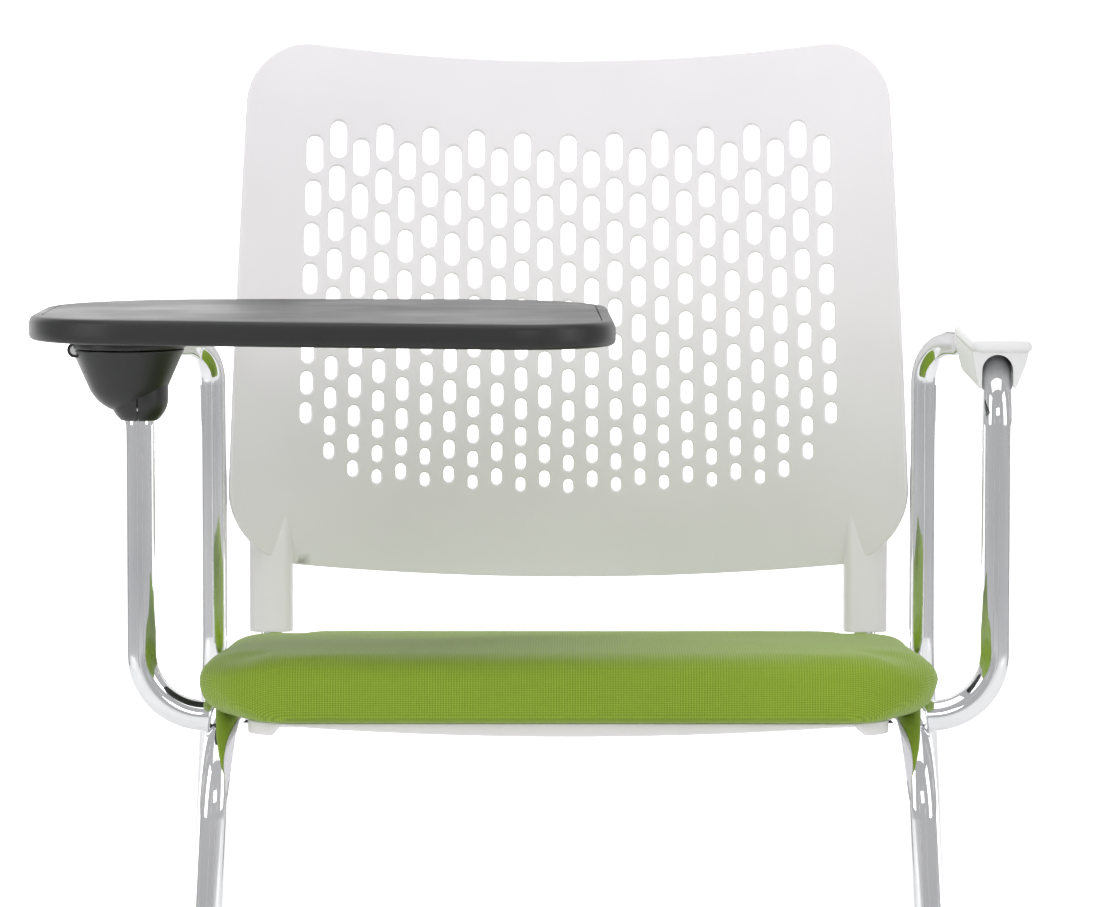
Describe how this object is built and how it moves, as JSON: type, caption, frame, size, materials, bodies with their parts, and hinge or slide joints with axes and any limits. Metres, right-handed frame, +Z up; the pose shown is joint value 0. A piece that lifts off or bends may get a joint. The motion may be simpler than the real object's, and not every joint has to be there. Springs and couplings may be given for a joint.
{
  "type": "student desk chair",
  "caption": "Stacking chair with bent chrome tube frame, perforated back, upholstered seat, padded arm and folding writing tablet.",
  "frame": {"origin": "on the floor, under the middle of the whole chair's outline (the chair's own centre plane is at x = +20.6 mm, because the tablet stands out on the -X side)", "axes": "+Z up, the sitter faces -Y, +X towards the sitter's left hand (the side with the arm pad)"},
  "size_m": [0.6499, 0.5775, 0.8629],
  "materials": {
    "chrome": "mirror chrome plating",
    "plated_steel": "zinc plated",
    "white_shell": "fine matt moulded polypropylene",
    "green_fabric": "fine knitted polyester",
    "plywood": "raw birch plywood",
    "glide_plastic": "moulded nylon",
    "bumper_rubber": "matt",
    "black_nylon": "fine grained moulding",
    "white_acetal": "smooth",
    "tablet_laminate": "fine pebbled laminate",
    "tablet_edge": "soft moulded edge"
  },
  "bodies": {
    "chair_frame": {"left_leg_tube": "chrome", "right_leg_tube": "chrome", "left_arm_tube": "chrome", "right_arm_tube": "chrome", "front_cross_bar": "plated_steel", "middle_cross_bar": "plated_steel", "rear_cross_tube": "plated_steel", "seat_screws": "plated_steel", "seat_tee_nuts": "plated_steel", "back_screws": "plated_steel", "arm_pad_screws": "plated_steel", "clamp_screws": "plated_steel", "hinge_pin": "plated_steel", "backrest": "white_shell", "seat_pan": "white_shell", "arm_pad": "white_shell", "seat_cushion": "green_fabric", "seat_board": "plywood", "leg_glides": "glide_plastic", "stacking_bumpers": "bumper_rubber", "clamp_outer_half": "black_nylon", "clamp_inner_half": "black_nylon", "hinge_cover": "black_nylon"},
    "tablet_hinge": {"flip_plate": "black_nylon", "swivel_bolt": "plated_steel", "slide_washer": "white_acetal"},
    "tablet": {"swivel_plate": "black_nylon", "tablet_board": "tablet_laminate", "tablet_rim": "tablet_edge", "tablet_screws": "plated_steel"}
  },
  "joints": [
    {"name": "tablet_flip", "type": "hinge", "parent": "chair_frame", "child": "tablet_hinge", "pos_m": [-0.29725, -0.13401, 0.666], "axis": [0, -1, 0], "range_deg": [0, 90]},
    {"name": "tablet_swivel", "type": "hinge", "parent": "tablet_hinge", "child": "tablet", "pos_m": [-0.26425, -0.13401, 0.674], "axis": [0, 0, -1], "range_deg": [0, 180]}
  ]
}
